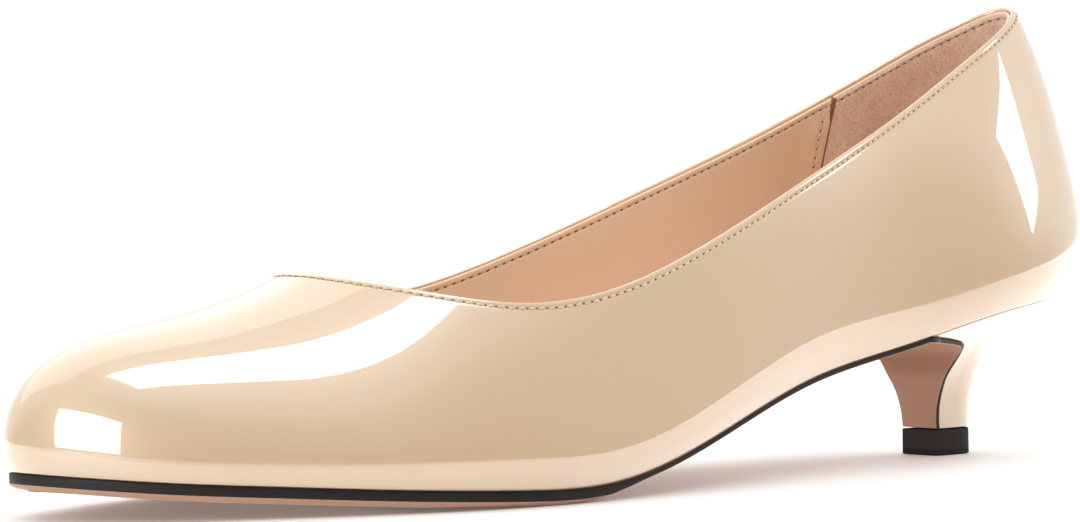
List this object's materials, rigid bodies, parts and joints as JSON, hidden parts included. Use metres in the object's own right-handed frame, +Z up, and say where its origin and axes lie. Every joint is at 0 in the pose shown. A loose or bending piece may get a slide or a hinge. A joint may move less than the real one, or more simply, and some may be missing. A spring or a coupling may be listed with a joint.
{
  "type": "kitten heel pump",
  "caption": "Women's kitten heel pump in nude patent leather, left shoe, with a round almond toe, low-cut topline, thin leather sole and a short flared heel",
  "frame": {"origin": "Centre of the footprint of the whole shoe's bounding box, on the floor plane that the forefoot and the top lift stand on", "axes": "+Y runs back along the shoe from toe to heel, the toe points along -Y, +X is the wearer's left and the shoe's lateral side, +Z is up"},
  "size_m": [0.082, 0.2486, 0.0933],
  "materials": {
    "patent": "nude patent leather, high gloss clear coat",
    "sock": "smooth tan-pink lining leather, satin",
    "sole": "pink-brown sole leather, matte, with a black painted edge",
    "top_lift": "black rubber, matte"
  },
  "bodies": {
    "root": {"upper": "patent", "insole": "sock", "outsole": "sole", "heel": "patent", "top_lift": "top_lift"}
  },
  "joints": []
}
